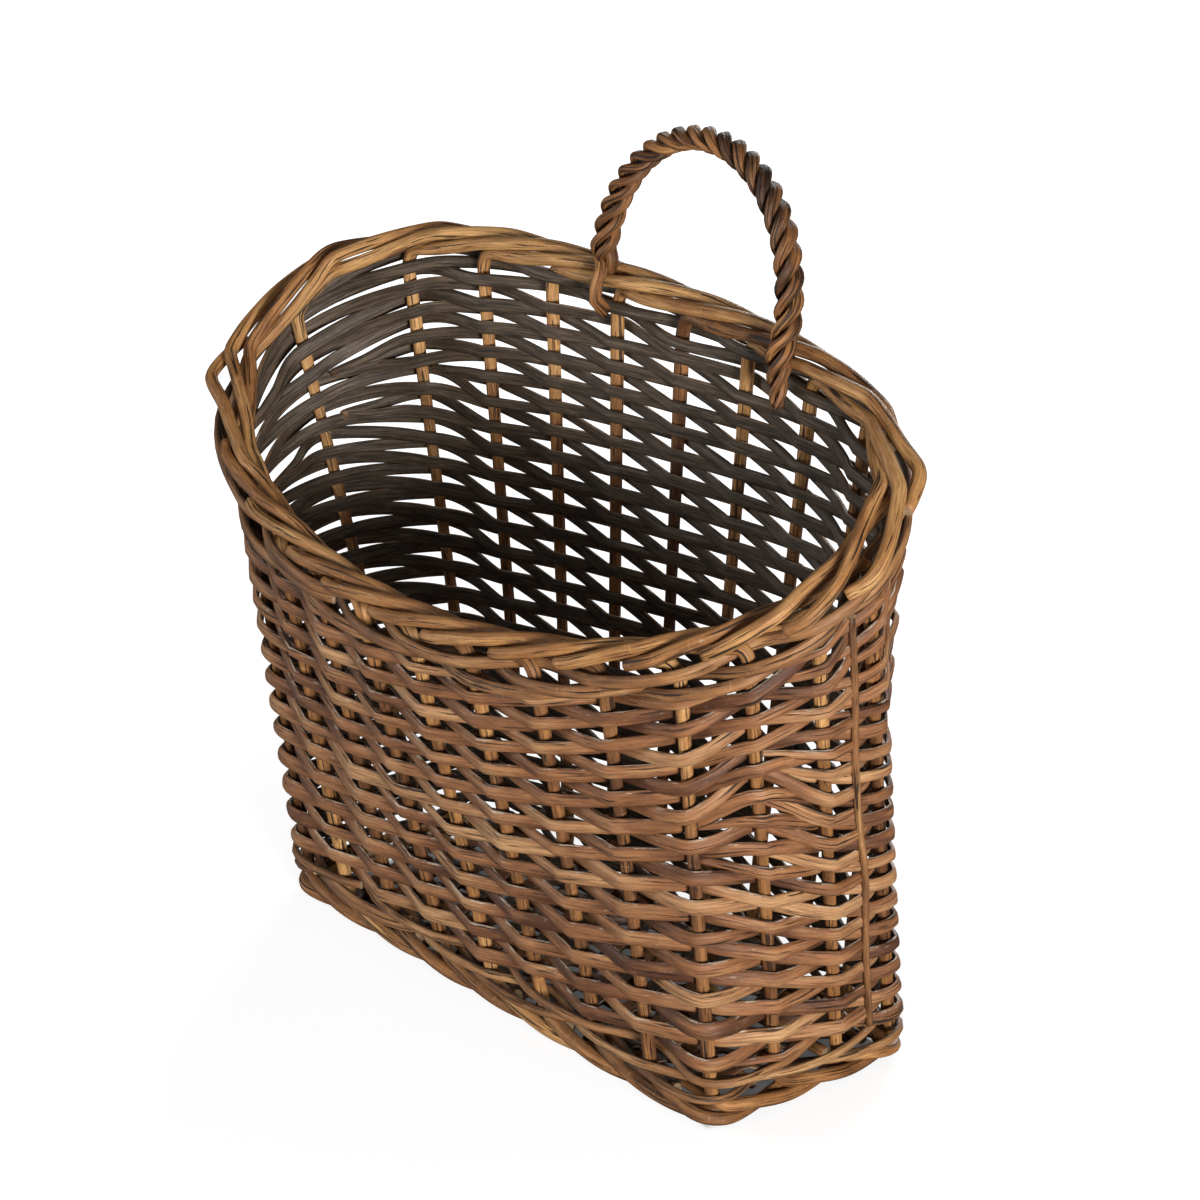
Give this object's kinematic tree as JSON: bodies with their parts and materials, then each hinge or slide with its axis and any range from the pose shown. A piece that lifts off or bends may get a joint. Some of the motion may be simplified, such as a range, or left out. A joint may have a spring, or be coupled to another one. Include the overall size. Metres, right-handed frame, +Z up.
{
  "type": "hanging storage basket",
  "caption": "Willow wall basket with a rectangular base, flared woven walls, an oval rolled rim that rises to the back and a twisted handle to hang it by.",
  "frame": {"origin": "middle of the footprint's bounding box, on the surface the basket stands on", "axes": "+X to the right seen from the front, +Y from the front to the back wall, +Z up"},
  "size_m": [0.373, 0.1674, 0.3643],
  "materials": {
    "round_willow": "peeled and stained round rods, satin",
    "split_willow": "split rods, bark side out, weathered split side in",
    "thin_willow": "thin stained rods, satin"
  },
  "bodies": {
    "root": {"stake_01": "round_willow", "stake_02": "round_willow", "stake_03": "round_willow", "stake_04": "round_willow", "stake_05": "round_willow", "stake_06": "round_willow", "stake_07": "round_willow", "stake_08": "round_willow", "stake_09": "round_willow", "stake_10": "round_willow", "stake_11": "round_willow", "stake_12": "round_willow", "stake_13": "round_willow", "stake_14": "round_willow", "stake_15": "round_willow", "stake_16": "round_willow", "stake_17": "round_willow", "stake_18": "round_willow", "stake_19": "round_willow", "stake_20": "round_willow", "stake_21": "round_willow", "stake_22": "round_willow", "stake_23": "round_willow", "weaver_01": "split_willow", "weaver_02": "split_willow", "weaver_03": "split_willow", "weaver_04": "split_willow", "weaver_05": "split_willow", "weaver_06": "split_willow", "weaver_07": "split_willow", "weaver_08": "split_willow", "packing_weaver_01": "split_willow", "packing_weaver_02": "split_willow", "packing_weaver_03": "split_willow", "packing_weaver_04": "split_willow", "packing_weaver_05": "split_willow", "packing_weaver_06": "split_willow", "packing_weaver_07": "split_willow", "packing_weaver_08": "split_willow", "lower_wale_01": "thin_willow", "lower_wale_02": "thin_willow", "lower_wale_03": "thin_willow", "corner_rod": "thin_willow", "upper_wale_01": "thin_willow", "upper_wale_02": "thin_willow", "upper_wale_03": "thin_willow", "base_stick_01": "round_willow", "base_stick_02": "round_willow", "base_stick_03": "round_willow", "base_stick_04": "round_willow", "base_stick_05": "round_willow", "base_weaver_left": "split_willow", "base_weaver_right": "split_willow", "handle_strand_01": "round_willow", "handle_strand_02": "round_willow", "handle_strand_03": "round_willow"}
  },
  "joints": []
}
